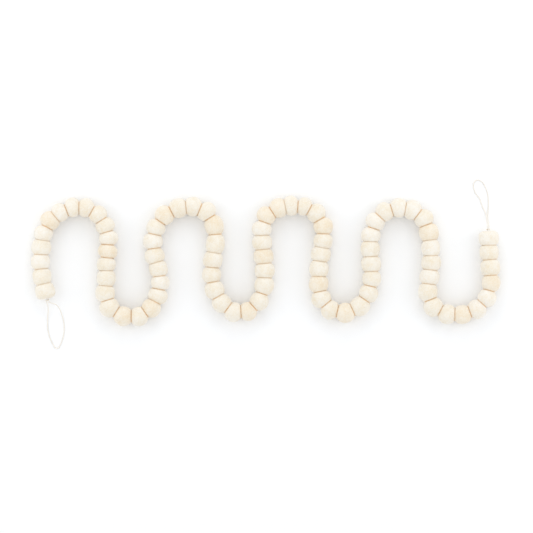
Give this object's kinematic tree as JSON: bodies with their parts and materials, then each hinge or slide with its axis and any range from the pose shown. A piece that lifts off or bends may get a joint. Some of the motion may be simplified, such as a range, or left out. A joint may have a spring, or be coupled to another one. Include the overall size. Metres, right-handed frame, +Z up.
{
  "type": "felt ball garland",
  "caption": "Garland of cream felt balls pressed close on one cotton string, laid in a serpentine, with a knotted hanging loop of the string at each end.",
  "frame": {"origin": "on the surface the balls lie on, under the middle of the box around the balls", "axes": "+X along the serpentine from the left loop's end to the right loop's end, +Y in the surface towards the first bend, which is towards the picture's top edge, +Z up from the surface"},
  "size_m": [0.602, 0.2172, 0.025],
  "materials": {
    "felt": "undyed cream wool felt, rolled firm, matt",
    "cotton": "twisted off-white cotton thread"
  },
  "bodies": {
    "root": {"balls_01": "felt", "balls_02": "felt", "balls_03": "felt", "balls_04": "felt", "balls_05": "felt", "balls_06": "felt", "balls_07": "felt", "balls_08": "felt", "balls_09": "felt", "balls_10": "felt", "balls_11": "felt", "balls_12": "felt", "balls_13": "felt", "balls_14": "felt", "balls_15": "felt", "balls_16": "felt", "balls_17": "felt", "balls_18": "felt", "balls_19": "felt", "balls_20": "felt", "balls_21": "felt", "balls_22": "felt", "balls_23": "felt", "balls_24": "felt", "balls_25": "felt", "balls_26": "felt", "balls_27": "felt", "balls_28": "felt", "balls_29": "felt", "balls_30": "felt", "balls_31": "felt", "balls_32": "felt", "balls_33": "felt", "balls_34": "felt", "balls_35": "felt", "balls_36": "felt", "balls_37": "felt", "balls_38": "felt", "balls_39": "felt", "balls_40": "felt", "balls_41": "felt", "string": "cotton", "knot_left": "cotton", "knot_right": "cotton", "loop_left": "cotton", "loop_right": "cotton"}
  },
  "joints": []
}
